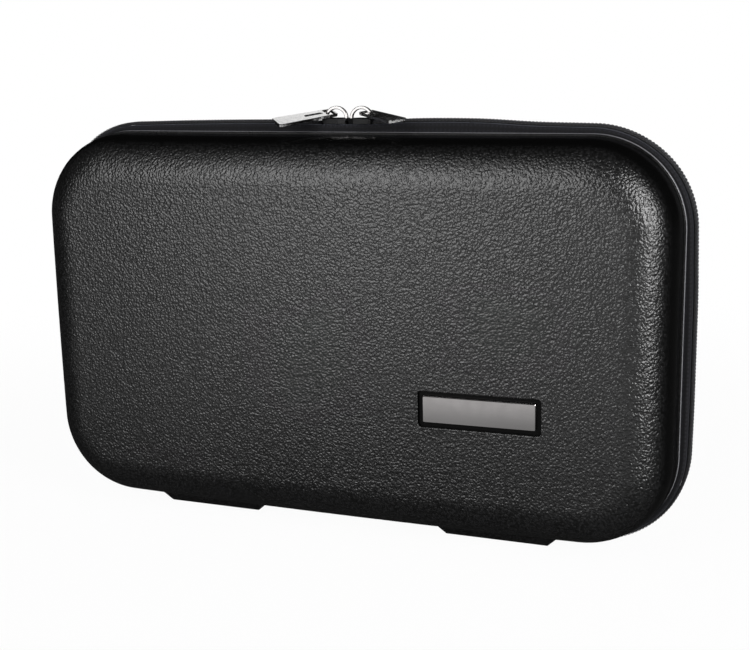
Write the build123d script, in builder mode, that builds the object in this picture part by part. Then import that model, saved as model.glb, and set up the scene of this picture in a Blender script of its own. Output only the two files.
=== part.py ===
from build123d import *
import os
from math import radians, sqrt, tan

# A zipped hard-shell case for an oboe, closed and standing on the feet of its spine.
# X runs along the case, -Y faces the viewer, Z is up, and z = 0 is the surface it stands on.
# All lengths are in millimetres and all angles in degrees.

# Overall form of one half, measured from the parting plane outwards
rim_length = 294.8
rim_height = 173.6
rim_corner = 39.0
half_depth = 38.8
rim_place = 8.0
wall = 2.5
wall_inset = 0.8
draft = 2.0
edge_radius = 20.0
crown_radius = 2800.0

# Rolled lip round the open edge of each shell
lip_width = 2.2
lip_proud = 0.6
lip_round = 0.5

# Feet and centre pad moulded into the spine side
foot_drop = 4.8
foot_place = 70.0
foot_length = 60.0
foot_end_slope = 7.0
foot_width = 7.0
foot_sole_width = 4.2
foot_round = 0.8
pad_length = 20.0
pad_width = 6.0
pad_corner = 2.0
pad_proud = 1.2

# Name plate in its recess, left bare
plate_place_x = 68.7
plate_place_z = -26.9
plate_length = 48.8
plate_height = 11.7
plate_thickness = 1.1
plate_corner = 0.8
plate_bevel = 0.35
recess_border = 2.5
recess_depth = 1.5
adhesive_thickness = 0.3

# Zip: coil, tape and piping, measured outwards from the rim line
crest_rise = 4.2
coil_width = 2.2
coil_height = 1.4
coil_round = 0.45
tape_thickness = 0.7
piping_diameter = 1.6
piping_gap = 0.1
zip_end_gap = 4.4
stop_length = 3.0
running_gap = 0.3
slot_gap = 0.4

# Sliders, nose to nose at the place where they meet
sliders_meet = -1.6
slider_length = 11.4
slider_shoulder = 10.0
slider_shoulder_place = 1.9
slider_tail = 8.6
slider_nose = 6.7
slider_plate = 1.0
slider_plate_round = 0.35
slider_corner = 1.2
neck_thickness = 0.8
neck_gap = 0.2
neck_length = 3.4

# Bails on the sliders
bail_length = 11.0
bail_rise = 5.3
bail_wire = 1.4
bail_depth = 1.6
bail_round = 0.3

# Pull tabs, and how each one lies on the case: swing off the zip, droop and roll
pull_length = 29.3
pull_width_eye = 7.1
pull_width_tip = 8.6
pull_thickness = 1.4
pull_bar = 1.2
pull_side = 0.85
pull_edge = 0.2
eye_length = 3.8
pull_corner = 1.3
pull_slot_length = 9.0
pull_slot_width = 2.0
pull_slot_depth = 0.4
pull_lay_left = (50.0, 6.6, 18.0)
pull_lay_right = (40.0, 5.0, 6.0)
pull_pivot_in = 1.7
pull_pivot_back = 0.75
pull_pivot_rise = 2.4

# Linings, binding and foam
glue_line = 0.1
lining = 1.2
binding = 0.7
binding_width = 6.0
foam_side_gap = 0.4
foam_gap = 0.1
insert_top = 3.0
lid_pad_thickness = 11.0
lid_pad_round = 3.0

# Cavities of the fitted insert: places and sizes seen from the front
floor_round = 9.0
joint_end_wall = 14.6
upper_joint_width = 35.0
upper_joint_depth = 23.0
upper_joint_place = 50.0
lower_joint_width = 41.0
lower_joint_depth = 25.0
lower_joint_place = 4.0
bell_length = 122.0
bell_width_top = 30.0
bell_width_rim = 44.0
bell_depth = 24.0
bell_place_x = -60.0
well_length = 104.0
well_width = 42.0
well_depth = 24.0
well_corner = 7.0
well_place_x = 68.0
lower_row_place = -45.5
scoop_length = 34.0
scoop_depth = 10.0

os.makedirs("parts", exist_ok=True)

mid_height = rim_height / 2 + foot_drop
rim_top = mid_height + rim_height / 2
rim_bottom = mid_height - rim_height / 2
front = Plane(origin=(0, 0, mid_height), x_dir=(1, 0, 0), z_dir=(0, -1, 0))
crown_centre = Vector(0, crown_radius - half_depth, mid_height)

coil_start = neck_thickness / 2 + neck_gap
coil_end = coil_start + coil_width
tape_top = crest_rise - coil_height
tape_bottom = tape_top - tape_thickness
zip_end_place = rim_length / 2 - rim_corner - zip_end_gap
flat_end = slider_shoulder / 2 + running_gap
piping_place = rim_place - piping_gap - piping_diameter / 2
flank_place = piping_place - piping_diameter / 2 - piping_gap
tape_foot = -piping_diameter - piping_gap


def half_form(start, side_inset, face_inset):
    """One half as a full solid: drafted walls up to a crowned face with a round edge."""
    spread = (rim_place - start) * tan(radians(draft)) - wall_inset - side_inset
    with BuildPart() as form:
        with BuildSketch(front.offset(start)):
            RectangleRounded(rim_length + 2 * spread, rim_height + 2 * spread, rim_corner + spread)
        extrude(amount=half_depth + wall, taper=draft)
        with Locations(crown_centre):
            Sphere(crown_radius - face_inset, mode=Mode.INTERSECT)
        crown = form.faces().sort_by(Axis.Y)[0]
        fillet(crown.edges(), edge_radius - face_inset)
    return form.part


def rear_copy(piece):
    """The same piece on the rear half."""
    with BuildPart() as copy:
        mirror(piece, about=Plane.XZ)
    return copy.part


def finish(piece, name):
    """Label one piece and write it."""
    piece.label = name
    export_step(piece, f"parts/{name}.step")


lip_grow = lip_proud - wall_inset
with BuildPart() as rolled_lip:
    with BuildSketch(front.offset(rim_place)):
        RectangleRounded(rim_length + 2 * lip_grow, rim_height + 2 * lip_grow, rim_corner + lip_grow)
    extrude(amount=lip_width)
    fillet(rolled_lip.faces().filter_by(Axis.Y).edges(), lip_round)

# Moulded shell with its lip, feet and pad
with BuildPart() as plain_shell:
    add(half_form(rim_place, 0, 0))
    add(rolled_lip.part)
    foot_start = rim_place + lip_width
    foot_root = rim_bottom + wall_inset + wall / 2
    foot_places = [(side * foot_place, -foot_start - foot_width / 2) for side in (-1, 1)]
    sole_places = [(side * foot_place, -foot_start - foot_sole_width / 2) for side in (-1, 1)]
    for place, sole_place in zip(foot_places, sole_places):
        with BuildSketch(Plane.XY.offset(foot_root)):
            with Locations(place):
                Rectangle(foot_length, foot_width)
        with BuildSketch(Plane.XY):
            with Locations(sole_place):
                Rectangle(foot_length - 2 * foot_end_slope, foot_sole_width)
        loft(ruled=True)
    soles = plain_shell.faces().group_by(Axis.Z)[0]
    fillet(soles.edges(), foot_round)
    with BuildSketch(Plane.XY.offset(rim_bottom + wall_inset - pad_proud)):
        with Locations((0, -foot_start - pad_width / 2)):
            RectangleRounded(pad_length, pad_width, pad_corner)
    extrude(amount=pad_proud + wall / 2)
    add(half_form(rim_place, wall, wall), mode=Mode.SUBTRACT)
finish(rear_copy(plain_shell.part), "rear_shell")

plate_rise = sqrt(crown_radius**2 - plate_place_x**2 - plate_place_z**2)
plate_normal = Vector(plate_place_x, -plate_rise, plate_place_z) / crown_radius
plate_face = Plane(crown_centre + plate_normal * crown_radius, x_dir=(1, 0, 0), z_dir=plate_normal)
recess_floor = plate_face.offset(-recess_depth)

with BuildPart() as front_shell:
    add(plain_shell.part)
    with BuildSketch(plate_face):
        RectangleRounded(
            plate_length + 2 * recess_border, plate_height + 2 * recess_border, plate_corner + recess_border / 2
        )
    extrude(amount=-recess_depth, mode=Mode.SUBTRACT)
finish(front_shell.part, "front_shell")

with BuildPart() as plate_adhesive:
    with BuildSketch(recess_floor):
        RectangleRounded(plate_length - plate_corner, plate_height - plate_corner, plate_corner)
    extrude(amount=adhesive_thickness)
finish(plate_adhesive.part, "plate_adhesive")

with BuildPart() as name_plate:
    with BuildSketch(recess_floor.offset(adhesive_thickness)):
        RectangleRounded(plate_length, plate_height, plate_corner)
    extrude(amount=plate_thickness)
    chamfer(name_plate.faces().sort_by(Axis.Y)[0].edges(), plate_bevel)
finish(name_plate.part, "name_plate")


def rim_path(end_place):
    """The rim line from the spine on the left, over the top, to the spine on the right."""
    straight_up = rim_height - 2 * rim_corner
    straight_over = rim_length - 2 * rim_corner
    with BuildLine(front) as path:
        run = Line((-end_place, -rim_height / 2), (-straight_over / 2, -rim_height / 2))
        for length in (straight_up, straight_over, straight_up):
            corner = JernArc(start=run @ 1, tangent=run % 1, radius=rim_corner, arc_size=-90)
            run = Line(corner @ 1, corner @ 1 + (corner % 1) * length)
        corner = JernArc(start=run @ 1, tangent=run % 1, radius=rim_corner, arc_size=-90)
        Line(corner @ 1, (end_place, -rim_height / 2))
    return path.wire()


def section_plane(end_place):
    """Plane across the start of the rim line: x runs off the parting plane, y runs inwards."""
    return Plane(origin=(-end_place, 0, rim_bottom), x_dir=(0, -1, 0), z_dir=(-1, 0, 0))


def tape_profile(inner_edge, top):
    """Fabric strip from its inner edge over the crest and down to the rim of the shell."""
    bend = flank_place - flat_end
    with BuildSketch(section_plane(zip_end_place)) as profile:
        with BuildLine():
            over = Line((inner_edge, -top), (flat_end, -top))
            turn = JernArc(start=over @ 1, tangent=(1, 0), radius=bend, arc_size=90)
            Polyline(
                turn @ 1,
                (flank_place, -tape_foot),
                (rim_place, -tape_foot),
                (rim_place, -tape_foot + tape_thickness),
                (flank_place - tape_thickness, -tape_foot + tape_thickness),
                (flank_place - tape_thickness, -top + bend),
                (flat_end, -top + tape_thickness),
                (inner_edge, -top + tape_thickness),
                (inner_edge, -top),
            )
        make_face()
    return profile.sketch


with BuildPart() as front_tape:
    add(tape_profile(coil_start, tape_top))
    sweep(path=rim_path(zip_end_place))
finish(front_tape.part, "front_zip_tape")
finish(rear_copy(front_tape.part), "rear_zip_tape")

coil_end_place = zip_end_place + stop_length
slider_pair = 2 * (slider_length + 2 * running_gap)
with BuildPart() as whole_coil:
    with BuildSketch(section_plane(coil_end_place)):
        with Locations(((coil_start + coil_end) / 2, -(tape_top + crest_rise) / 2)):
            RectangleRounded(coil_width, coil_height, coil_round)
    sweep(path=rim_path(coil_end_place))
finish(rear_copy(whole_coil.part), "rear_zip_coil")

with BuildPart() as front_coil:
    add(whole_coil.part)
    with BuildSketch(Plane.XY.offset(rim_top)):
        with Locations((sliders_meet, 0)):
            Rectangle(slider_pair, 4 * coil_end)
    extrude(amount=2 * crest_rise, mode=Mode.SUBTRACT)
finish(front_coil.part, "front_zip_coil")

with BuildPart() as front_stops:
    for side in (-1, 1):
        with BuildSketch(Plane.YZ.offset(side * (zip_end_place + stop_length / 2))):
            with Locations((-(coil_start + coil_end) / 2, rim_bottom - tape_top - coil_height / 2)):
                RectangleRounded(coil_width, coil_height, coil_round)
        extrude(amount=stop_length / 2, both=True)
finish(front_stops.part, "front_zip_stops")
finish(rear_copy(front_stops.part), "rear_zip_stops")

with BuildPart() as front_web:
    add(tape_profile(0, crest_rise))
    extrude(amount=2 * zip_end_place, dir=(1, 0, 0))
finish(front_web.part, "front_hinge_web")
finish(rear_copy(front_web.part), "rear_hinge_web")

with BuildPart() as front_piping:
    with BuildSketch(section_plane(0)):
        with Locations((piping_place, piping_diameter / 2)):
            Circle(piping_diameter / 2)
    sweep(path=rim_path(0))
finish(front_piping.part, "front_piping")
finish(rear_copy(front_piping.part), "rear_piping")


def slider_place(side):
    """Middle of a slider along the case."""
    return sliders_meet + side * (slider_length / 2 + running_gap)


def slider(side):
    """Slider body straddling both tapes, its neck at the end that meets the other slider."""
    place = slider_place(side)
    tail_x = place + side * (slider_length / 2 - slider_corner)
    shoulder_x = place - side * slider_shoulder_place
    nose_x = place - side * (slider_length / 2 - slider_corner)
    neck_x = place - side * (slider_length - neck_length - slider_corner) / 2
    plate_bottom = crest_rise + running_gap
    flange_bottom = tape_top + slot_gap
    lower_top = tape_bottom - slot_gap
    with BuildSketch() as outline:
        with Locations(*[(tail_x, y * (slider_tail / 2 - slider_corner)) for y in (-1, 1)]):
            Circle(slider_corner)
        with Locations(*[(shoulder_x, y * (slider_shoulder / 2 - slider_corner)) for y in (-1, 1)]):
            Circle(slider_corner)
        with Locations(*[(nose_x, y * (slider_nose / 2 - slider_corner)) for y in (-1, 1)]):
            Circle(slider_corner)
        make_hull()
    with BuildPart() as body:
        with BuildSketch(Plane.XY.offset(rim_top + flange_bottom)):
            add(outline.sketch)
        extrude(amount=plate_bottom + slider_plate - flange_bottom)
        fillet(body.faces().sort_by(Axis.Z)[-1].edges(), slider_plate_round)
        with BuildSketch(Plane.XY.offset(rim_top + flange_bottom)):
            with Locations((place, 0)):
                Rectangle(2 * slider_length, 2 * (coil_end + running_gap))
        extrude(amount=plate_bottom - flange_bottom, mode=Mode.SUBTRACT)
        with BuildSketch(Plane.XY.offset(rim_top + lower_top - slider_plate)):
            add(outline.sketch)
        extrude(amount=slider_plate)
        with BuildSketch(Plane.XY.offset(rim_top + lower_top)):
            with Locations((neck_x, 0)):
                SlotOverall(neck_length, neck_thickness)
        extrude(amount=plate_bottom - lower_top)
    return body.part


def bail(side):
    """D-shaped bail standing on the slider's upper plate, open across the case."""
    foot = rim_top + crest_rise + running_gap + slider_plate
    with BuildPart() as arch:
        with BuildSketch(Plane(origin=(slider_place(side), 0, foot), x_dir=(1, 0, 0), z_dir=(0, -1, 0))):
            Ellipse(bail_length / 2, bail_rise)
            Ellipse(bail_length / 2 - bail_wire, bail_rise - bail_wire, mode=Mode.SUBTRACT)
            with Locations((0, -bail_rise)):
                Rectangle(2 * bail_length, 2 * bail_rise, mode=Mode.SUBTRACT)
        extrude(amount=bail_depth / 2, both=True)
        rims = arch.faces().filter_by(Axis.Y).edges().filter_by(GeomType.ELLIPSE)
        fillet(rims, bail_round)
    return arch.part


def pull_plane(side):
    """Plane of a pull tab: x towards its tip, z out of its upper face, origin on its cross bar."""
    foot = rim_top + crest_rise + running_gap + slider_plate
    origin = (slider_place(side) + side * pull_pivot_in, pull_pivot_back, foot + pull_pivot_rise)
    swing, droop, roll = pull_lay_right if side > 0 else pull_lay_left
    heading = -swing if side > 0 else swing - 180
    turn = Location((0, 0, 0), (0, 0, heading)) * Location((0, 0, 0), (0, droop, 0))
    turn = turn * Location((0, 0, 0), (side * roll, 0, 0))
    return Plane(Location(origin) * turn)


def pull(side):
    """Flared pull tab with an eye round the bail's leg and a shallow slot in its upper face."""
    base = pull_plane(side)
    eye_start = pull_bar / 2
    with BuildPart() as tab:
        with BuildSketch(base.offset(-pull_thickness / 2)):
            with Locations(*[(pull_corner - eye_start, y * (pull_width_eye / 2 - pull_corner)) for y in (-1, 1)]):
                Circle(pull_corner)
            tip = pull_length - eye_start - pull_corner
            with Locations(*[(tip, y * (pull_width_tip / 2 - pull_corner)) for y in (-1, 1)]):
                Circle(pull_corner)
            make_hull()
            with Locations((eye_start + eye_length / 2, 0)):
                RectangleRounded(eye_length, pull_width_eye - 2 * pull_side, pull_side / 2, mode=Mode.SUBTRACT)
        extrude(amount=pull_thickness)
        outer = tab.faces().filter_by(Axis(base.origin, base.z_dir))
        chamfer(outer.edges(), pull_edge)
        with BuildSketch(base.offset(pull_thickness / 2)):
            with Locations((eye_start + eye_length + pull_bar + pull_slot_length / 2, 0)):
                SlotOverall(pull_slot_length, pull_slot_width)
        extrude(amount=-pull_slot_depth, mode=Mode.SUBTRACT)
    return tab.part


finish(slider(-1), "slider_left")
finish(slider(1), "slider_right")
finish(bail(-1), "bail_left")
finish(bail(1), "bail_right")
finish(pull(-1), "pull_left")
finish(pull(1), "pull_right")

# Plush lining of each half and the fabric binding round its open edge
lining_face = wall + glue_line
with BuildPart() as front_lining:
    add(half_form(rim_place, lining_face, lining_face))
    add(half_form(rim_place, lining_face + lining, lining_face + lining), mode=Mode.SUBTRACT)
finish(front_lining.part, "front_lining")
finish(rear_copy(front_lining.part), "rear_lining")

binding_grow = -(wall_inset + lining_face + lining + glue_line)
binding_start = rim_place - glue_line - binding
with BuildPart() as front_binding:
    with BuildSketch(front.offset(rim_place - glue_line)):
        RectangleRounded(
            rim_length - 2 * (wall_inset + lining_face),
            rim_height - 2 * (wall_inset + lining_face),
            rim_corner - wall_inset - lining_face,
        )
    extrude(amount=-binding)
    with BuildSketch(front.offset(binding_start)):
        RectangleRounded(rim_length + 2 * binding_grow, rim_height + 2 * binding_grow, rim_corner + binding_grow)
    extrude(amount=binding_width, taper=draft)
    inner_grow = binding_grow - binding
    with BuildSketch(front.offset(binding_start)):
        RectangleRounded(rim_length + 2 * inner_grow, rim_height + 2 * inner_grow, rim_corner + inner_grow)
    extrude(amount=binding_width, taper=draft, mode=Mode.SUBTRACT)
finish(front_binding.part, "front_edge_binding")
finish(rear_copy(front_binding.part), "rear_edge_binding")

# Fitted foam insert of the rear half, drawn in the front half and then turned over
foam_side = lining_face + lining + glue_line + binding + foam_side_gap
foam_face = lining_face + lining + foam_gap
cavity_plane = front.offset(insert_top)
joint_length = rim_length - 2 * (wall_inset + foam_side + joint_end_wall)


def cavity_floor(block, place):
    """The flat floor of the cavity whose middle is at a height above the case's centre."""
    floors = block.faces().filter_by(GeomType.PLANE).filter_by(Axis.Y)
    deep = [floor for floor in floors if floor.center().Y < -2 * insert_top]
    return ShapeList(deep).sort_by(lambda floor: abs(floor.center().Z - mid_height - place))[0]


with BuildPart() as insert:
    add(half_form(insert_top, foam_side, foam_face))
    with BuildSketch(cavity_plane):
        with Locations((0, upper_joint_place)):
            SlotOverall(joint_length, upper_joint_width)
    extrude(amount=upper_joint_depth, mode=Mode.SUBTRACT)
    fillet(cavity_floor(insert, upper_joint_place).edges(), floor_round)
    with BuildSketch(cavity_plane):
        with Locations((0, lower_joint_place)):
            SlotOverall(joint_length, lower_joint_width)
    extrude(amount=lower_joint_depth, mode=Mode.SUBTRACT)
    fillet(cavity_floor(insert, lower_joint_place).edges(), floor_round)
    with BuildSketch(cavity_plane):
        for end, width in ((-1, bell_width_rim), (1, bell_width_top)):
            with Locations((bell_place_x + end * (bell_length - width) / 2, lower_row_place)):
                Circle(width / 2)
        make_hull()
    extrude(amount=bell_depth, mode=Mode.SUBTRACT)
    fillet(cavity_floor(insert, lower_row_place).edges(), floor_round)
    with BuildSketch(cavity_plane):
        with Locations((well_place_x, lower_row_place)):
            RectangleRounded(well_length, well_width, well_corner)
    extrude(amount=well_depth, mode=Mode.SUBTRACT)
    with BuildSketch(cavity_plane):
        with Locations((0, (upper_joint_place + lower_joint_place) / 2)):
            RectangleRounded(scoop_length, upper_joint_place - lower_joint_place, well_corner)
    extrude(amount=scoop_depth, mode=Mode.SUBTRACT)
finish(rear_copy(insert.part), "fitted_insert")

pad_top = half_depth - foam_face - lid_pad_thickness
with BuildPart() as lid_pad:
    add(half_form(insert_top, foam_side, foam_face))
    split(bisect_by=front.offset(pad_top), keep=Keep.TOP)
    fillet(lid_pad.faces().sort_by(Axis.Y)[-1].edges(), lid_pad_round)
finish(lid_pad.part, "lid_pad")
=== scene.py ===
import math

import bpy
import numpy as np
from mathutils import Matrix, Vector


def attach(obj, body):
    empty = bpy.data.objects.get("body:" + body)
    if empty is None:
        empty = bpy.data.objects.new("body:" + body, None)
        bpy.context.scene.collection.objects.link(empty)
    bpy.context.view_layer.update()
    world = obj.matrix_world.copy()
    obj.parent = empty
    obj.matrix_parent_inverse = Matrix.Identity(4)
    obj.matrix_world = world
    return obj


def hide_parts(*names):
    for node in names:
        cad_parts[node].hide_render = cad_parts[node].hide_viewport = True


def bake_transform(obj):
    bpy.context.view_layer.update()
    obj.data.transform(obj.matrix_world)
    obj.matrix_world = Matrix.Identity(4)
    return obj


# Looks for a zipped hard-shell oboe case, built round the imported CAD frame. Sizes are in millimetres,
# as in the CAD, up to where a mesh is made. Materials, the floor and the lamps are in metres.
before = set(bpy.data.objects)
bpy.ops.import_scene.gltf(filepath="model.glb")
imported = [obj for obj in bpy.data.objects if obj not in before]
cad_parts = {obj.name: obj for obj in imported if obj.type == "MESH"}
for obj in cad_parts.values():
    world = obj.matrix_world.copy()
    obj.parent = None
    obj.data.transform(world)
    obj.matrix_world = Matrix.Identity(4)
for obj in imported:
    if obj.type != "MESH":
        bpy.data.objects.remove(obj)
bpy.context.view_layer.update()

MM = 0.001
MID = 91.6
RIM_LENGTH = 294.8
RIM_HEIGHT = 173.6
RIM_CORNER = 39.0
RIM_PLACE = 8.0
RIM_BOTTOM = MID - RIM_HEIGHT / 2
HALF_DEPTH = 38.8
CROWN = 2800.0
EDGE_RADIUS = 20.0
WALL = 2.5
WALL_INSET = 0.8
DRAFT = math.radians(2.0)
ZIP_END = 104.0
PITCH = 1.57
COIL_START = 0.6
COIL_END = 2.8
CREST = 4.2
TAPE_TOP = 2.8
TAPE_THICK = 0.5
WEB_THICK = 0.6
PIPING_AT = (7.1, -0.8)
PIPING_RADIUS = 0.8
GAP_HALF = 12.0
SLIDERS_MEET = -1.6
SLIDERS_CLEAR = 13.0
CREST_EASE = 14.0
PLATE_AT = (68.7, -26.9)
RECESS_SIZE = (53.8, 16.7)
RECESS_CORNER = 2.05

STRAIGHT_X = RIM_LENGTH - 2 * RIM_CORNER
STRAIGHT_Z = RIM_HEIGHT - 2 * RIM_CORNER
ROUND = 2 * STRAIGHT_X + 2 * STRAIGHT_Z + 2 * math.pi * RIM_CORNER

# The sewn-in zip is not quite even: its crest's rise over the plain line, by x on top and by z at the sides
BOW_X = [-150, -125, -108, -85, -60, -15, 20, 42, 60, 72, 84, 96, 108, 128, 150]
BOW_RISE = [-0.3, -0.9, -0.7, -0.1, 0.3, 0.6, 1.0, 1.3, 1.1, 0.4, -0.3, -0.5, -0.7, -1.4, -1.2]
SIDE_Z = [-90, -60, -30, 20, 50, 75]
SIDE_RISE = [-0.6, -0.5, 0.0, 0.0, -0.9, -1.3]
SPINE_RISE = -0.4
TOP_BAND = 12
SHIFT_WINDOW = 25
SOFT_FROM = -1.2
SOFT_OVER = 3.6


def loop(u, length, height, corner):
    """Points (x, z) of a rounded rectangle and their outward normals, at lengths u from below its middle."""
    half_x, half_z = length / 2 - corner, height / 2 - corner
    quarter = math.pi / 2 * corner
    around = 4 * (half_x + half_z + quarter)
    u = np.mod(np.asarray(u, float), around)
    runs = [
        (half_x, (0, -1), (-1, 0), (0, -half_z - corner), None),
        (quarter, None, None, None, ((-half_x, -half_z), 270.0)),
        (2 * half_z, (-1, 0), (0, 1), (-half_x - corner, -half_z), None),
        (quarter, None, None, None, ((-half_x, half_z), 180.0)),
        (2 * half_x, (0, 1), (1, 0), (-half_x, half_z + corner), None),
        (quarter, None, None, None, ((half_x, half_z), 90.0)),
        (2 * half_z, (1, 0), (0, -1), (half_x + corner, half_z), None),
        (quarter, None, None, None, ((half_x, -half_z), 0.0)),
        (half_x, (0, -1), (-1, 0), (half_x, -half_z - corner), None),
    ]
    point = np.zeros((len(u), 2))
    normal = np.zeros((len(u), 2))
    start = 0.0
    for run, out, along, first, turn in runs:
        here = (u >= start - 1e-9) & (u <= start + run + 1e-9)
        t = u[here] - start
        if turn:
            angle = np.radians(turn[1]) - t / corner
            way = np.stack([np.cos(angle), np.sin(angle)], 1)
            point[here] = np.array(turn[0]) + way * corner
            normal[here] = way
        else:
            point[here] = np.array(first) + np.outer(t, along)
            normal[here] = out
        start += run
    return point, normal


def rim(u):
    """Points (x, z) of the rim line and its outward normals, at lengths u from the middle of the spine."""
    return loop(u, RIM_LENGTH, RIM_HEIGHT, RIM_CORNER)


def crest_shift(u):
    """How far the sewn-in zip's crest stands above or below its plain line, at lengths u round the rim."""
    at, _ = rim(u)
    x, z = at[:, 0], at[:, 1]
    over = np.interp(x, BOW_X, BOW_RISE)
    clear = np.clip((np.abs(x - SLIDERS_MEET) - SLIDERS_CLEAR) / CREST_EASE, 0, 1)
    clear = clear * clear * (3 - 2 * clear)
    down = np.interp(z, SIDE_Z, SIDE_RISE)
    sides = np.where(z > -RIM_HEIGHT / 2 + 1, down, SPINE_RISE)
    return np.where(z > RIM_HEIGHT / 2 - TOP_BAND, over * clear, sides)


def smoothed(values, width):
    """A closed run of values averaged over a width of samples."""
    kernel = np.hanning(width + 2)[1:-1]
    kernel /= kernel.sum()
    wrapped = np.concatenate([values[-width:], values, values[:width]])
    return np.convolve(wrapped, kernel, "same")[width:-width]


SHIFT_AT = np.arange(0, ROUND, 1.0)
SHIFT = smoothed(crest_shift(SHIFT_AT), SHIFT_WINDOW)


def place(u, s, r, soft=False):
    """Points in metres at length u round the rim, s in front of the parting plane and r outside the rim."""
    point, normal = rim(u)
    r = np.asarray(r, float)
    if soft:
        share = np.clip((r - SOFT_FROM) / SOFT_OVER, 0, 1)
        r = r + np.interp(np.mod(u, ROUND), SHIFT_AT, SHIFT, period=ROUND) * share
    out = point + normal * r[:, None]
    return np.stack([out[:, 0], -np.asarray(s, float), out[:, 1] + MID], 1) * MM


def add_mesh(name, points, faces, body, material, smooth=True, uvs=None):
    """A new piece from points and faces, riding on a body."""
    mesh = bpy.data.meshes.new(name)
    mesh.from_pydata([tuple(p) for p in points], [], [tuple(int(i) for i in f) for f in faces])
    mesh.validate()
    mesh.update()
    if smooth:
        mesh.polygons.foreach_set("use_smooth", [True] * len(mesh.polygons))
    if uvs is not None:
        layer = mesh.uv_layers.new(name="strip")
        index = np.zeros(len(mesh.loops), int)
        mesh.loops.foreach_get("vertex_index", index)
        layer.data.foreach_set("uv", np.asarray(uvs, float)[index].astype(np.float32).ravel())
    piece = bpy.data.objects.new(name, mesh)
    bpy.context.scene.collection.objects.link(piece)
    piece.data.materials.append(material)
    if body:
        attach(piece, body)
    return piece


def grid_faces(rows, columns, close_rows=False, close_columns=False, flip=False):
    """Quads of a grid whose point (i, j) has index i * columns + j."""
    i = np.arange(rows if close_rows else rows - 1)
    j = np.arange(columns if close_columns else columns - 1)
    a, b = np.meshgrid(i, j, indexing="ij")
    a2, b2 = (a + 1) % rows, (b + 1) % columns
    quads = [a * columns + b, a2 * columns + b, a2 * columns + b2, a * columns + b2]
    if flip:
        quads.reverse()
    return np.stack([q.ravel() for q in quads], 1)


# ---- materials ----


class Graph:
    """A material's node tree with short calls for its nodes and links."""

    def __init__(self, name):
        self.material = bpy.data.materials.new(name)
        self.material.use_nodes = True
        self.tree = self.material.node_tree
        self.shader = self.tree.nodes["Principled BSDF"]

    def node(self, kind, **settings):
        node = self.tree.nodes.new(kind)
        for key, value in settings.items():
            setattr(node, key, value)
        return node

    def set(self, **values):
        for key, value in values.items():
            self.shader.inputs[key.replace("_", " ")].default_value = value

    def link(self, source, target):
        self.tree.links.new(source, target)

    def math(self, operation, a, b=None):
        node = self.node("ShaderNodeMath", operation=operation)
        for socket, value in zip(node.inputs, (a, b)):
            if value is None:
                continue
            if isinstance(value, (int, float)):
                socket.default_value = value
            else:
                self.link(value, socket)
        return node.outputs[0]

    def ramp(self, source, low, high, start=0.0, end=1.0):
        node = self.node("ShaderNodeMapRange", interpolation_type="SMOOTHSTEP")
        self.link(source, node.inputs[0])
        for socket, value in zip(node.inputs[1:5], (low, high, start, end)):
            socket.default_value = value
        return node.outputs[0]

    def noise(self, scale, detail=2.0, roughness=0.5, vector=None, stretch=None):
        node = self.node("ShaderNodeTexNoise")
        node.inputs["Scale"].default_value = scale
        node.inputs["Detail"].default_value = detail
        node.inputs["Roughness"].default_value = roughness
        self.link(self.coords(vector, stretch), node.inputs["Vector"])
        return node

    def coords(self, vector, stretch):
        source = vector or self.place
        if stretch:
            mapping = self.node("ShaderNodeMapping")
            mapping.inputs["Scale"].default_value = stretch
            self.link(source, mapping.inputs["Vector"])
            source = mapping.outputs[0]
        return source

    @property
    def texture(self):
        if not hasattr(self, "_texture"):
            self._texture = self.node("ShaderNodeTexCoord")
        return self._texture

    @property
    def place(self):
        return self.texture.outputs["Object"]

    def split(self, vector):
        node = self.node("ShaderNodeSeparateXYZ")
        self.link(vector, node.inputs[0])
        return node.outputs

    def mix(self, factor, a, b):
        node = self.node("ShaderNodeMix", data_type="RGBA")
        self.link(factor, node.inputs[0])
        for socket, value in ((node.inputs[6], a), (node.inputs[7], b)):
            if isinstance(value, tuple):
                socket.default_value = value + (1.0,)
            else:
                self.link(value, socket)
        return node.outputs[2]

    def bump(self, height, strength, distance, previous=None, strength_from=None):
        node = self.node("ShaderNodeBump")
        node.inputs["Strength"].default_value = strength
        node.inputs["Distance"].default_value = distance
        self.link(height, node.inputs["Height"])
        if strength_from is not None:
            self.link(strength_from, node.inputs["Strength"])
        if previous is not None:
            self.link(previous, node.inputs["Normal"])
        return node.outputs[0]

    def finish(self, colour=None, roughness=None, normal=None):
        for source, target in ((colour, "Base Color"), (roughness, "Roughness"), (normal, "Normal")):
            if source is not None:
                self.link(source, self.shader.inputs[target])
        return self.material


def plate_recess(g, x, y, z):
    """1 on the walls and floor of the plate's recess, 0 elsewhere, from a point's own place. The shell uses it
    to paint the recess near black as painted shade.
    """
    inside = []
    for coordinate, middle, size in ((x, PLATE_AT[0], RECESS_SIZE[0]), (z, MID + PLATE_AT[1], RECESS_SIZE[1])):
        away = g.math("ABSOLUTE", g.math("SUBTRACT", coordinate, middle * MM))
        inside.append(g.ramp(away, (size / 2 + 0.3) * MM, (size / 2 + 0.2) * MM))
    squares = [g.math("POWER", g.math("ABSOLUTE", side), 2.0) for side in (x, g.math("SUBTRACT", z, MID * MM))]
    crowned = g.math("DIVIDE", g.math("ADD", *squares), 2 * CROWN * MM)
    below = g.math("SUBTRACT", y, g.math("SUBTRACT", crowned, HALF_DEPTH * MM))
    depth = g.math("MULTIPLY", g.ramp(below, 0.0002, 0.0006), g.ramp(below, 0.006, 0.004))
    return g.math("MULTIPLY", g.math("MULTIPLY", *inside), depth)


GRAIN_SCALE = 880.0
GRAIN_DEPTH = 0.00026
LIP_ENDS = (0.0110, 0.0170)


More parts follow.
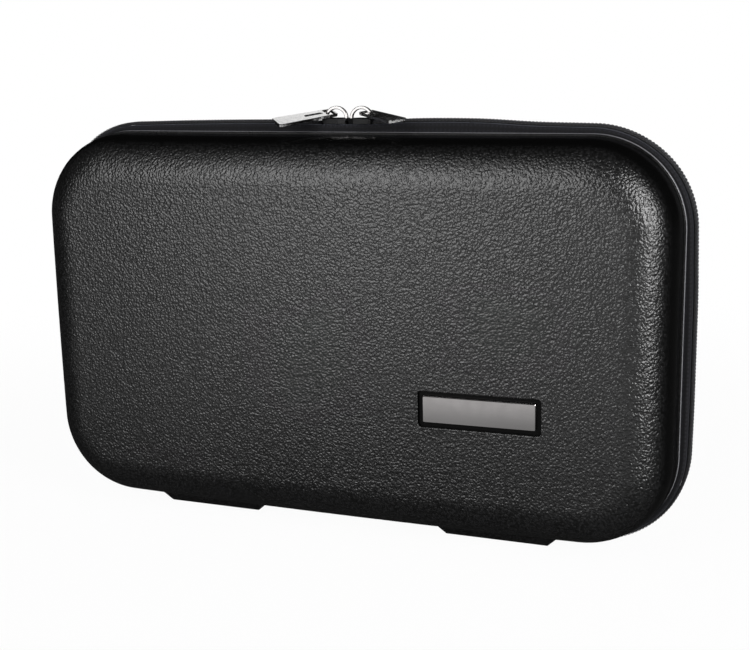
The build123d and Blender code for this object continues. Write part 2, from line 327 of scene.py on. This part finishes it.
def shell_plastic(name, level):
    """Black ABS: leather grain on the crowned face, smooth satin walls. Its gloss follows the photo's light.
    Its reflection is turned down as painted shade on the walls, the lip, the plate's recess and faces turned
    left.
    """
    g = Graph(name)
    fine = g.noise(2400.0, 2.0)
    rough_wall = g.ramp(fine.outputs["Fac"], 0.3, 0.7, 0.22, 0.27)
    g.set(IOR=1.5, Specular_IOR_Level=level)
    x, y, z = g.split(g.place)
    outward = g.split(g.texture.outputs["Normal"])
    facing = g.math("ABSOLUTE", outward[1])
    past_lip = g.ramp(g.math("ABSOLUTE", y), *LIP_ENDS)
    grain = g.ramp(facing, 0.40, 0.66)
    warp = g.noise(520.0, 1.0)
    spread = g.node("ShaderNodeVectorMath", operation="SCALE")
    g.link(warp.outputs["Color"], spread.inputs[0])
    spread.inputs["Scale"].default_value = 0.0010
    moved = g.node("ShaderNodeVectorMath", operation="ADD")
    g.link(g.place, moved.inputs[0])
    g.link(spread.outputs[0], moved.inputs[1])
    pebbles = g.node("ShaderNodeTexVoronoi", feature="SMOOTH_F1")
    pebbles.inputs["Scale"].default_value = GRAIN_SCALE
    pebbles.inputs["Smoothness"].default_value = 0.35
    g.link(moved.outputs[0], pebbles.inputs["Vector"])
    domes = g.ramp(pebbles.outputs["Distance"], 0.15, 0.75, 1.0, 0.0)
    wrinkle = g.noise(1080.0, 1.0, 0.45, vector=moved.outputs[0])
    open_skin = g.math("SUBTRACT", 1.0, plate_recess(g, x, y, z))
    smooth_end = g.math("MULTIPLY", past_lip, open_skin)
    height = g.math("ADD", g.math("MULTIPLY", domes, 0.45),
                    g.math("MULTIPLY", wrinkle.outputs["Fac"], 0.9))
    normal = g.bump(height, 1.0, GRAIN_DEPTH, strength_from=g.math("MULTIPLY", grain, smooth_end))
    patch = g.noise(14.0, 3.0)
    rough_face = g.ramp(patch.outputs["Fac"], 0.3, 0.7, 0.26, 0.30)
    rough = g.node("ShaderNodeMix")
    g.link(grain, rough.inputs[0])
    g.link(rough_wall, rough.inputs[2])
    g.link(rough_face, rough.inputs[3])
    deep = g.mix(domes, (0.0030, 0.0030, 0.0030), (0.0100, 0.0100, 0.0103))
    # Painted shade: inside the plate's recess the colour drops to near black. The smooth walls take the same
    # dark 0.0015, and the grained face takes 0.003 to 0.010.
    colour = g.mix(g.math("MULTIPLY", grain, open_skin), (0.0015, 0.0015, 0.0015), deep)
    # Painted shade: the specular tint dims the reflection on faces turned left, on the steep walls, on the lip
    # and in the plate's recess.
    left_painted_shade = g.ramp(outward[0], -0.55, -0.12, 0.30, 1.0)
    wall_painted_shade = g.math("MULTIPLY", g.ramp(facing, 0.56, 0.80), smooth_end)
    shaded_gloss = g.math("MULTIPLY", wall_painted_shade, left_painted_shade)
    tint = g.mix(shaded_gloss, (0.15, 0.15, 0.15), (1.0, 1.0, 1.0))
    g.link(tint, g.shader.inputs["Specular Tint"])
    return g.finish(colour, rough.outputs[0], normal)


RIB_SCALE = 6.28 / (2 * math.pi * 10 * 0.0006)
THREAD_SCALE = 1 / (10 * 0.0007)


def woven_tape(name, base, light):
    """Black polyester tape: twill ribs across a strip, in its own length and width in metres."""
    g = Graph(name)
    uv = g.texture.outputs["UV"]
    ribs = g.node("ShaderNodeTexWave", wave_type="BANDS", bands_direction="X", wave_profile="SIN")
    ribs.inputs["Scale"].default_value = RIB_SCALE
    ribs.inputs["Distortion"].default_value = 0.6
    ribs.inputs["Detail"].default_value = 1.0
    g.link(uv, ribs.inputs["Vector"])
    cross = g.node("ShaderNodeTexWave", wave_type="BANDS", bands_direction="Y", wave_profile="SIN")
    cross.inputs["Scale"].default_value = THREAD_SCALE
    cross.inputs["Distortion"].default_value = 0.6
    g.link(uv, cross.inputs["Vector"])
    weave = g.math("MULTIPLY", ribs.outputs["Fac"], cross.outputs["Fac"])
    fuzz = g.noise(3200.0, 3.0)
    height = g.math("ADD", g.math("MULTIPLY", weave, 0.7),
                    g.math("MULTIPLY", fuzz.outputs["Fac"], 0.5))
    normal = g.bump(height, 0.8, 0.00018)
    shade = g.mix(g.ramp(height, 0.2, 0.9), base, light)
    g.set(Roughness=0.8, Sheen_Weight=0.10, Sheen_Roughness=0.4, Specular_IOR_Level=0.25)
    g.shader.inputs["Sheen Tint"].default_value = (0.8, 0.84, 1.0, 1.0)
    return g.finish(shade, None, normal)


def moulded(name, colour, roughness, coat=0.0, grain=0.00004, scale=1500.0):
    """Plain moulded or extruded plastic with a faint unevenness."""
    g = Graph(name)
    skin = g.noise(scale, 3.0)
    drift = g.noise(60.0, 2.0)
    tint = g.mix(g.ramp(drift.outputs["Fac"], 0.3, 0.7), tuple(c * 0.85 for c in colour), colour)
    rough = g.ramp(skin.outputs["Fac"], 0.3, 0.7, roughness - 0.05, roughness + 0.07)
    if coat:
        g.set(Coat_Weight=coat, Coat_Roughness=0.12)
    return g.finish(tint, rough, g.bump(skin.outputs["Fac"], 0.5, grain))


def metal(name, colour, roughness, brush=None, smudges=0.08, bow=0.0, painted_shade_by_height=None):
    """Plated or polished metal with fine polishing marks and faint smudges, and where asked a painted shade
    that darkens it towards the bottom.
    """
    g = Graph(name)
    marks = g.noise(900.0, 4.0, 0.6, stretch=brush or (1.0, 1.0, 1.0))
    smudge = g.noise(160.0, 3.0)
    rough = g.math("ADD", g.ramp(smudge.outputs["Fac"], 0.35, 0.7, roughness, roughness + smudges),
                   g.ramp(marks.outputs["Fac"], 0.35, 0.75, 0.0, 0.05))
    tint = g.mix(g.ramp(smudge.outputs["Fac"], 0.3, 0.7), tuple(c * 0.9 for c in colour), colour)
    g.set(Metallic=1.0)
    # Painted shade: the colour darkens towards the bottom between two heights.
    if painted_shade_by_height:
        tint = g.mix(g.ramp(g.split(g.place)[2], painted_shade_by_height[0], painted_shade_by_height[1]), painted_shade_by_height[2], tint)
    shape = None
    if bow:
        shape = g.bump(g.noise(20.0, 0.0).outputs["Fac"], 1.0, bow)
    return g.finish(tint, rough, g.bump(marks.outputs["Fac"], 0.25, 0.00003, previous=shape))


def plush_fabric(name, dark, light):
    """Short velour pile: mottled lay, fine fibres and a soft sheen."""
    g = Graph(name)
    lay = g.noise(90.0, 3.0, 0.5)
    pile = g.noise(1500.0, 4.0, 0.7)
    clumps = g.noise(330.0, 3.0, 0.6)
    amount = g.math("ADD", g.math("MULTIPLY", lay.outputs["Fac"], 0.3),
                    g.math("MULTIPLY", pile.outputs["Fac"], 0.7))
    shade = g.mix(g.ramp(amount, 0.30, 0.70), dark, light)
    height = g.math("ADD", g.math("MULTIPLY", pile.outputs["Fac"], 0.6),
                    g.math("MULTIPLY", clumps.outputs["Fac"], 0.6))
    g.set(Roughness=0.92, Sheen_Weight=0.25, Sheen_Roughness=0.35, Specular_IOR_Level=0.15)
    g.shader.inputs["Sheen Tint"].default_value = (0.9, 0.92, 1.0, 1.0)
    return g.finish(shade, None, g.bump(height, 0.75, 0.0006))


SHELL = shell_plastic("shell_leather_grain", 0.70)
TAPE = woven_tape("woven_zip_tape", (0.003, 0.003, 0.004), (0.009, 0.009, 0.012))
BINDING = woven_tape("ribbed_binding", (0.008, 0.008, 0.009), (0.03, 0.03, 0.033))
PIPING = moulded("piping_vinyl", (0.16, 0.16, 0.17), 0.32, coat=0.5)
NYLON = moulded("coil_nylon", (0.009, 0.009, 0.011), 0.32, scale=2600.0)
CORD = moulded("coil_core_cord", (0.004, 0.004, 0.005), 0.8, grain=0.0001, scale=4000.0)
THREAD = moulded("stitch_thread", (0.045, 0.045, 0.05), 0.6, grain=0.0001, scale=5200.0)
CHROME = metal("bright_chrome", (0.74, 0.735, 0.73), 0.13, smudges=0.03)
ENAMEL = moulded("black_enamel", (0.006, 0.006, 0.0065), 0.45)
ENAMEL.node_tree.nodes["Principled BSDF"].inputs["Specular IOR Level"].default_value = 0.2
NICKEL = metal("satin_nickel", (0.36, 0.35, 0.345), 0.22, smudges=0.04)
# The plate's colour darkens towards its bottom as painted shade.
PLATE = metal("polished_plate", (0.66, 0.635, 0.63), 0.12, brush=(0.08, 1.0, 1.4), smudges=0.02,
              bow=0.002, painted_shade_by_height=(0.0590, 0.0705, (0.36, 0.35, 0.348)))
STOP = metal("stop_metal", (0.30, 0.30, 0.31), 0.32)
ADHESIVE = moulded("adhesive_foam", (0.12, 0.12, 0.115), 0.8, grain=0.0003)
PLUSH = plush_fabric("plush_velour", (0.007, 0.007, 0.008), (0.030, 0.030, 0.033))

for node, material, slot in (
    ("front_shell", SHELL, "shell"),
    ("rear_shell", SHELL, "shell"),
    ("name_plate", PLATE, "plate"),
    ("plate_adhesive", ADHESIVE, "adhesive"),
    ("slider_left", ENAMEL, "slider"),
    ("slider_right", ENAMEL, "slider"),
    ("bail_left", NICKEL, "bright_metal"),
    ("bail_right", NICKEL, "bright_metal"),
    ("pull_left", CHROME, "bright_metal"),
    ("pull_right", CHROME, "bright_metal"),
    ("front_zip_stops", STOP, "zip_stop"),
    ("rear_zip_stops", STOP, "zip_stop"),
):
    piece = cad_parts[node]
    piece.data.materials.clear()
    piece.data.materials.append(material)


# ---- zip ----


def strip(name, profile, start, end, step, body, material, side, closed_path=False, soft=False):
    """A closed cross-section of (s, r) pairs carried along the rim from start to end."""
    count = max(3, int(round((end - start) / step)) + (0 if closed_path else 1))
    u = start + (end - start) * np.arange(count) / (count if closed_path else count - 1)
    profile = np.asarray(profile, float)
    width = len(profile)
    run = np.concatenate([[0], np.cumsum(np.linalg.norm(np.diff(profile, axis=0), axis=1))])
    uu = np.repeat(u, width)
    ss = np.tile(profile[:, 0], count) * side
    rr = np.tile(profile[:, 1], count)
    points = place(uu, ss, rr, soft)
    faces = list(grid_faces(count, width, closed_path, True, flip=side < 0))
    if not closed_path:
        first = list(range(width))
        last = [(count - 1) * width + k for k in range(width)]
        faces.append(first if side > 0 else first[::-1])
        faces.append(last[::-1] if side > 0 else last)
    uvs = np.stack([uu, np.tile(run, count)], 1) * MM
    return add_mesh(name, points, faces, body, material, True, uvs)


def thick_line(line, thickness):
    """A closed section from an open line of (s, r) points, thickened towards its right-hand side."""
    line = np.asarray(line, float)
    way = np.gradient(line, axis=0)
    way /= np.linalg.norm(way, axis=1)[:, None]
    inner = line + np.stack([way[:, 1], -way[:, 0]], 1) * thickness
    return np.concatenate([line, inner[::-1]])


def tape_line():
    """The tape's outer face from the coil's inner edge over the crest and down beside the piping."""
    line = [(COIL_START, TAPE_TOP), (1.6, TAPE_TOP), (2.7, TAPE_TOP), (3.6, TAPE_TOP + 0.02),
            (4.5, TAPE_TOP)]
    for angle in np.linspace(80, 0, 7):
        line.append((4.9 + 1.3 * math.cos(math.radians(angle)), 1.5 + 1.3 * math.sin(math.radians(angle))))
    line += [(6.2, 0.7), (6.18, -0.4), (6.2, -1.2), (6.5, -1.65), (7.1, -1.75), (7.95, -1.75)]
    return line


BODIES = (("front", "lid", 1), ("rear", "base", -1))
for half, body, side in BODIES:
    tape = strip(f"{half}_woven_tape", thick_line(tape_line(), TAPE_THICK), ZIP_END, ROUND - ZIP_END, 1.5,
                 body, TAPE, side, soft=True)
    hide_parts(f"{half}_zip_tape")
    length = (ROUND - 2 * ZIP_END) * MM
    ring = [(PIPING_AT[0] + PIPING_RADIUS * math.cos(a), PIPING_AT[1] + PIPING_RADIUS * math.sin(a))
            for a in np.linspace(0, 2 * math.pi, 17)[:-1]]
    bead = strip(f"{half}_piping_bead", ring[::-1], 0, ROUND, 2.0, body, PIPING, side, True)
    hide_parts(f"{half}_piping")


def recess_rim():
    """The rolled edge of the plate's recess: a quarter round from the face down its wall."""
    radius, wall_end = 0.55, 1.45
    length, height = RECESS_SIZE
    around = 2 * (length + height - 4 * RECESS_CORNER) + 2 * math.pi * RECESS_CORNER
    u = np.linspace(0, around, 240, endpoint=False)
    point, normal = loop(u, length, height, RECESS_CORNER)
    deep = -math.sqrt(CROWN**2 - PLATE_AT[0]**2 - PLATE_AT[1]**2) + CROWN - HALF_DEPTH
    middle = Vector((PLATE_AT[0], deep, PLATE_AT[1] + MID))
    out = Vector((PLATE_AT[0], middle.y - (CROWN - HALF_DEPTH), PLATE_AT[1])).normalized()
    right = Vector((1, 0, 0)) - out * out.x
    right.normalize()
    up = right.cross(out)
    if up.z < 0:
        up.negate()
    section = [(0.25, 0.02), (0.12, -0.015)] + [
        (-radius * math.sin(a), radius - radius * math.cos(a)) for a in np.radians(np.linspace(0, 90, 8))]
    section += [(-radius, wall_end), (0.25, wall_end)]
    points = []
    for (x, z), (nx, nz) in zip(point, normal):
        for o, d in section:
            place_at = middle + right * (x + nx * o) + up * (z + nz * o) - out * d
            points.append(tuple(c * MM for c in place_at))
    faces = grid_faces(len(u), len(section), True, True, flip=True)
    return add_mesh("plate_recess_rim", points, faces, "lid", SHELL)


recess_rim()


def tube(path, radius, sides):
    """Points and faces of a tube round a path, with flat ends."""
    path = np.asarray(path, float)
    way = np.gradient(path, axis=0)
    way /= np.linalg.norm(way, axis=1)[:, None]
    side = np.cross(way, np.array([0.31, 0.87, 0.38]))
    side /= np.linalg.norm(side, axis=1)[:, None]
    up = np.cross(way, side)
    angle = 2 * math.pi * np.arange(sides) / sides
    points = (path[:, None, :] + radius * (side[:, None, :] * np.cos(angle)[None, :, None]
                                          + up[:, None, :] * np.sin(angle)[None, :, None])).reshape(-1, 3)
    faces = [list(f) for f in grid_faces(len(path), sides, False, True)]
    faces.append(list(range(sides))[::-1])
    faces.append([(len(path) - 1) * sides + k for k in range(sides)])
    return points, faces


def joined(parts):
    """Several point and face lists as one."""
    points, faces, base = [], [], 0
    for p, f in parts:
        points.append(np.asarray(p))
        faces.extend([[i + base for i in face] for face in f])
        base += len(p)
    return np.concatenate(points), faces


COIL_LAP = 0.45
COIL_WIRE = 0.3
STITCH_ROWS = (1.35, 2.45)
STITCH_WIRE = 0.13
CORE = [(0.62, 2.9), (2.5, 2.9), (2.62, 3.1), (2.62, 3.75), (2.4, 4.0), (1.0, 4.0), (0.75, 3.85), (0.62, 3.6)]


def coil_path(start, end, phase):
    """Centreline of a nylon coil between two lengths, its loops reaching over the other half's."""
    turns = int(round((end - start) / PITCH))
    t = np.arange(turns * 10 + 1) / 10
    inner, outer = COIL_START - COIL_LAP, COIL_END
    reach = (outer - inner) / 2 - 0.3
    angle = 2 * math.pi * t
    u = start + (phase + t) * PITCH
    s = (inner + outer) / 2 - reach * np.cos(angle)
    r = (TAPE_TOP + CREST) / 2 + 0.4 * np.sin(angle)
    return u, s, r


FULL = (ZIP_END, ROUND - ZIP_END)
TOP_MIDDLE = ROUND / 2 + SLIDERS_MEET
for half, body, side in BODIES:
    spans = [FULL]
    if side > 0:
        spans = [(FULL[0], TOP_MIDDLE - GAP_HALF), (TOP_MIDDLE + GAP_HALF, FULL[1])]
    coils, stitches = [], []
    for start, end in spans:
        u, s, r = coil_path(start, end - PITCH, 0.25 if side > 0 else 0.75)
        inside = np.abs(u - TOP_MIDDLE) < GAP_HALF + 1
        s = np.where(inside, np.maximum(s, COIL_START + 0.3), s)
        coils.append(tube(place(u, s * side, r, True), COIL_WIRE * MM, 6))
        for row in STITCH_ROWS:
            count = int((end - start) / PITCH)
            for k in range(count):
                a = start + (k + 0.12) * PITCH
                length = np.linspace(0, 0.76 * PITCH, 5)
                rise = CREST - 0.13 + 0.15 * np.sin(np.linspace(0, math.pi, 5))
                path = place(a + length, np.full(5, row * side), rise, True)
                stitches.append(tube(path, STITCH_WIRE * MM, 5))
    points, faces = joined(coils)
    coil = add_mesh(f"{half}_coil_teeth", points, faces, body, NYLON)
    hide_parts(f"{half}_zip_coil")
    for number, (start, end) in enumerate(spans):
        strip(f"{half}_coil_core_{number}", CORE[::-1], start, end, 1.5, body, CORD, side,
              soft=True)
    points, faces = joined(stitches)
    add_mesh(f"{half}_coil_stitches", points, faces, body, THREAD)

# Hinge web along the spine: one strip of tape fabric between the two shells
front_line = np.array(tape_line()[1:])
lift = CREST - TAPE_TOP
front_line[:, 1] += np.interp(front_line[:, 0], [0, 4.5, 6.2], [lift, lift, 0.0])
crest = np.stack([np.linspace(-1.6, 1.6, 9)[1:-1], np.full(7, CREST)], 1)
whole = np.concatenate([front_line[::-1] * [-1, 1], crest, front_line])
section = thick_line(whole, WEB_THICK)
columns = len(section)
xs = np.linspace(-ZIP_END, ZIP_END, 70)
points = np.array([(x, -s, RIM_BOTTOM - r) for x in xs for s, r in section]) * MM
faces = list(grid_faces(len(xs), columns, False, True, flip=True))
faces.append(list(range(columns))[::-1])
faces.append([(len(xs) - 1) * columns + k for k in range(columns)])
run = np.concatenate([[0], np.cumsum(np.linalg.norm(np.diff(section, axis=0), axis=1))])
uvs = np.array([(x, v) for x in xs for v in run]) * MM
web = add_mesh("hinge_web_fabric", points, faces, None, TAPE, True, uvs)
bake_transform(web)
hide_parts("front_hinge_web", "rear_hinge_web")


# ---- inside ----


AROUND = 260
WALL_ROWS = 6
ROUND_ROWS = 12
FACE_ROWS = 14


def half_rows(inset, start):
    """Rows of points (x, z) and their depths s of one half's form, from its open edge to its face's middle."""
    u = np.arange(AROUND) * ROUND / AROUND
    point, normal = rim(u)
    radius = EDGE_RADIUS - inset
    ball = CROWN - inset

    def wall_at(s):
        return -WALL_INSET - inset - (s - RIM_PLACE) * math.tan(DRAFT)

    def face_at(x, z):
        return np.sqrt(ball**2 - x**2 - z**2) - (CROWN - HALF_DEPTH)

    s_mid = np.full(AROUND, HALF_DEPTH - inset - radius)
    for _ in range(6):
        d_mid = wall_at(s_mid) - radius / math.cos(DRAFT)
        at = point + normal * d_mid[:, None]
        slope = -(at * normal).sum(1) / ball
        s_mid = face_at(at[:, 0], at[:, 1]) - radius * np.sqrt(1 + slope**2)
    last = math.pi / 2 - np.arctan(-slope)
    rows = []
    first_s = s_mid + radius * math.sin(DRAFT)
    for k in range(WALL_ROWS):
        s = start + (first_s - start) * k / WALL_ROWS
        at = point + normal * wall_at(s)[:, None]
        rows.append((at, s))
    for k in range(ROUND_ROWS + 1):
        angle = DRAFT + (last - DRAFT) * k / ROUND_ROWS
        d = d_mid + radius * np.cos(angle)
        at = point + normal * d[:, None]
        rows.append((at, s_mid + radius * np.sin(angle)))
    edge = rows[-1][0]
    for k in range(1, FACE_ROWS):
        at = edge * (1 - k / FACE_ROWS)
        rows.append((at, face_at(at[:, 0], at[:, 1])))
    middle = (np.zeros((1, 2)), face_at(np.zeros(1), np.zeros(1)))
    return rows, middle


def half_skin(inset, start, side):
    """Points and faces of one half's inner or outer skin, facing outwards."""
    rows, middle = half_rows(inset, start)
    points = np.concatenate([np.stack([at[:, 0], -side * s, at[:, 1] + MID], 1)
                             for at, s in rows + [middle]]) * MM
    faces = [list(f) for f in grid_faces(len(rows), AROUND, False, True, flip=side > 0)]
    tip, ring = len(points) - 1, (len(rows) - 1) * AROUND
    for j in range(AROUND):
        pair = [ring + j, ring + (j + 1) % AROUND]
        faces.append(([pair[1], pair[0], tip] if side > 0 else [pair[0], pair[1], tip])[::-1])
    return points, faces


GLUE = 0.1
LINING = 1.2
for half, body, side in BODIES:
    outer = half_skin(WALL + GLUE, RIM_PLACE, side)
    inner = half_skin(WALL + GLUE + LINING, RIM_PLACE, side)
    inner = (inner[0], [f[::-1] for f in inner[1]])
    points, faces = joined([outer, inner])
    shift = len(outer[0])
    for j in range(AROUND):
        k = (j + 1) % AROUND
        faces.append([j, k, shift + k, shift + j] if side > 0 else [j, shift + j, shift + k, k])
    lining = add_mesh(f"{half}_plush_lining", points, faces, body, PLUSH)
    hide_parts(f"{half}_lining")

BAND = 0.7
BAND_START = 7.9
for half, body, side in BODIES:
    turn = -(WALL_INSET + WALL + GLUE)
    low = turn - LINING - GLUE
    line = [(BAND_START, turn), (BAND_START - BAND * 0.3, turn), (BAND_START - BAND, turn - 0.25),
            (7.2, low - 0.3), (7.35, low - 0.62), (7.7, low - 0.7), (10.0, low - 0.75), (13.1, low - 0.9),
            (13.2, low - 0.55), (13.1, low - 0.22), (10.0, low - 0.06), (8.0, low), (BAND_START, low + 0.2)]
    band = strip(f"{half}_binding_band", line, 0, ROUND, 3.0, body, BINDING, side, True)
    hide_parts(f"{half}_edge_binding")


def remeshed(node, name, voxel, body, material):
    """A soft piece started from a CAD solid's own form, with its edges relaxed."""
    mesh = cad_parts[node].data.copy()
    mesh.name = name
    piece = bpy.data.objects.new(name, mesh)
    bpy.context.scene.collection.objects.link(piece)
    piece.data.materials.clear()
    piece.data.materials.append(material)
    weld = piece.modifiers.new("weld", "WELD")
    weld.merge_threshold = 0.00002
    grid = piece.modifiers.new("grid", "REMESH")
    grid.mode = "VOXEL"
    grid.voxel_size = voxel
    grid.use_smooth_shade = True
    relax = piece.modifiers.new("relax", "SMOOTH")
    relax.factor = 0.5
    relax.iterations = 8
    made = bpy.data.meshes.new_from_object(piece.evaluated_get(bpy.context.evaluated_depsgraph_get()))
    piece.modifiers.clear()
    piece.data = made
    made.name = name
    made.polygons.foreach_set("use_smooth", [True] * len(made.polygons))
    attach(piece, body)
    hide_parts(node)
    return piece


remeshed("fitted_insert", "plush_insert", 0.0014, "base", PLUSH)
pad = remeshed("lid_pad", "padded_lid_cushion", 0.003, "lid", PLUSH)


# ---- camera, floor and light ----

# The camera as fitted to the photo: its turn in degrees and the case's middle as it sees it
yaw, pitch, roll = (math.radians(a) for a in (21.334, 12.463, -1.127))
turn = Matrix.Rotation(roll, 3, "Z") @ Matrix.Rotation(pitch, 3, "X") @ Matrix.Rotation(yaw, 3, "Y")
to_view = turn @ Matrix(((1, 0, 0), (0, 0, -1), (0, 1, 0)))
offset = Vector((-8.151, -1.365, 579.583)) * MM
eye = bpy.data.cameras.new("photo_camera")
eye.lens = 60.785
eye.sensor_width = 36.0
camera = bpy.data.objects.new("photo_camera", eye)
bpy.context.scene.collection.objects.link(camera)
MIDDLE = Vector((0, 0, MID * MM))
axes = to_view.transposed() @ Matrix.Diagonal((1, -1, -1))
camera.matrix_world = Matrix.Translation(MIDDLE - to_view.transposed() @ offset) @ axes.to_4x4()
bpy.context.scene.camera = camera

# The floor: white paper, almost clear to the camera so that the open lid below it shows, and mirrored
# by the case as a soft glow in front
g = Graph("studio_floor")
path = g.node("ShaderNodeLightPath").outputs
paper = g.noise(900.0, 3.0)
g.link(g.mix(paper.outputs["Fac"], (0.83, 0.83, 0.83), (0.87, 0.87, 0.87)), g.shader.inputs["Base Color"])
g.set(Roughness=0.9)
length = g.node("ShaderNodeVectorMath", operation="LENGTH")
g.link(g.place, length.inputs[0])
far = length.outputs["Value"]
near = g.split(g.place)
before = g.ramp(g.math("DIVIDE", near[1], far), -0.30, -0.80)
away = g.math("ADD", g.ramp(far, 0.07, 0.26, 0.0, 0.48), g.ramp(far, 0.26, 1.3, 0.0, 0.15))
leftward = g.ramp(g.math("DIVIDE", near[0], far), -0.60, -0.35, 0.80, 1.0)
front_glow = g.math("MULTIPLY", g.math("MULTIPLY", before, leftward), away)
glow = g.node("ShaderNodeEmission")
g.link(g.math("ADD", front_glow, 0.025), glow.inputs["Strength"])
mirrored = g.math("MAXIMUM", path["Is Glossy Ray"], path["Is Transmission Ray"])
share = g.math("MULTIPLY", path["Is Camera Ray"], g.ramp(far, 0.20, 0.60, 0.96, 1.0))
clear = g.node("ShaderNodeBsdfTransparent")
blend = g.node("ShaderNodeMixShader")
through = g.node("ShaderNodeMixShader")
for source, target in (
    (mirrored, blend.inputs[0]),
    (g.shader.outputs[0], blend.inputs[1]),
    (glow.outputs[0], blend.inputs[2]),
    (g.math("MAXIMUM", share, path["Is Shadow Ray"]), through.inputs[0]),
    (blend.outputs[0], through.inputs[1]),
    (clear.outputs[0], through.inputs[2]),
    (through.outputs[0], g.tree.nodes["Material Output"].inputs["Surface"]),
):
    g.link(source, target)
SPAN = 6.0
floor = add_mesh("floor", [(-SPAN, -SPAN, 0), (SPAN, -SPAN, 0), (SPAN, SPAN, 0), (-SPAN, SPAN, 0)],
                 [(0, 1, 2, 3)], None, g.material, False)

world = bpy.data.worlds.new("studio")
bpy.context.scene.world = world
world.use_nodes = True
tree = world.node_tree
background = tree.nodes["Background"]
way = tree.nodes.new("ShaderNodeTexCoord")
part = tree.nodes.new("ShaderNodeSeparateXYZ")
tree.links.new(way.outputs["Generated"], part.inputs[0])


def sky_ramp(source, low, high):
    """A smooth step from 0 to 1 over one part of the direction."""
    node = tree.nodes.new("ShaderNodeMapRange")
    node.interpolation_type = "SMOOTHSTEP"
    node.inputs[1].default_value = low
    node.inputs[2].default_value = high
    tree.links.new(source, node.inputs[0])
    return node.outputs[0]


def blended(factor, low, high):
    """A world colour between two others, each a colour or a socket."""
    node = tree.nodes.new("ShaderNodeMix")
    node.data_type = "RGBA"
    tree.links.new(factor, node.inputs[0])
    for socket, value in ((node.inputs[6], low), (node.inputs[7], high)):
        if isinstance(value, float):
            socket.default_value = (value, value, value, 1.0)
        else:
            tree.links.new(value, socket)
    return node.outputs[2]


rays = tree.nodes.new("ShaderNodeLightPath")
mirrored = tree.nodes.new("ShaderNodeMath")
mirrored.operation = "MAXIMUM"
tree.links.new(rays.outputs["Is Glossy Ray"], mirrored.inputs[0])
tree.links.new(rays.outputs["Is Transmission Ray"], mirrored.inputs[1])
rise = sky_ramp(part.outputs[2], 0.25, 0.75)
behind = sky_ramp(part.outputs[1], 0.93, 0.995)
studio = blended(rise, blended(behind, 0.005, 0.06), 0.004)
ambient = blended(mirrored.outputs[0], 0.20, studio)
level = blended(rays.outputs["Is Camera Ray"], ambient, 1.0)
tree.links.new(level, background.inputs["Color"])
background.inputs["Strength"].default_value = 1.0


def softbox(name, azimuth, elevation, distance, width, height, radiance):
    """A rectangular soft light aimed at the case. Azimuth 0 is in front, positive to the right."""
    lamp = bpy.data.lights.new(name, "AREA")
    lamp.shape = "RECTANGLE"
    lamp.size = width
    lamp.size_y = height
    lamp.energy = radiance * math.pi * width * height
    a, e = math.radians(azimuth), math.radians(elevation)
    back = Vector((math.sin(a) * math.cos(e), -math.cos(a) * math.cos(e), math.sin(e)))
    holder = bpy.data.objects.new(name, lamp)
    holder.location = MIDDLE + back * distance
    holder.rotation_mode = "QUATERNION"
    holder.rotation_quaternion = (-back).to_track_quat("-Z", "Y")
    bpy.context.scene.collection.objects.link(holder)
    return holder


def lit_alone(name, pieces, *lamps):
    """Lamps that reach some pieces only, as flags would keep them off the others."""
    lit = bpy.data.collections.new(name)
    for piece in pieces:
        lit.objects.link(piece)
    for lamp in lamps:
        softbox(*lamp).light_linking.receiver_collection = lit


shown = [piece for piece in bpy.context.scene.objects if piece.type == "MESH"]
pulls = [piece for piece in shown if piece.name.startswith("pull_")]
lit_alone("all_but_pulls", [piece for piece in shown if piece not in pulls],
          ("key_light", -19, 19, 1.5, 0.78, 1.15, 4.6),
          ("side_light", 60, 16, 1.4, 0.55, 1.1, 11.0),
          ("top_light", -28, 53, 1.5, 0.62, 0.50, 1.5))
lit_alone("pulls", pulls, ("pull_key", -19, 19, 1.5, 0.78, 1.15, 0.9))
lit_alone("rear_half", [piece for piece in shown if piece.name.startswith("rear_")],
          ("back_light", 178, 20, 1.5, 1.9, 1.25, 2.6),
          ("left_light", -82, 16, 1.4, 0.8, 1.1, 3.0))
lit_alone("bright_metal", [piece for piece in shown if piece.name.startswith(("pull_", "bail_"))],
          ("pull_light", -159.4, 41, 1.5, 0.40, 0.26, 1.25),
          ("metal_top", 0, 84, 1.5, 1.1, 1.0, 0.7))

bpy.context.scene.view_settings.view_transform = "Standard"
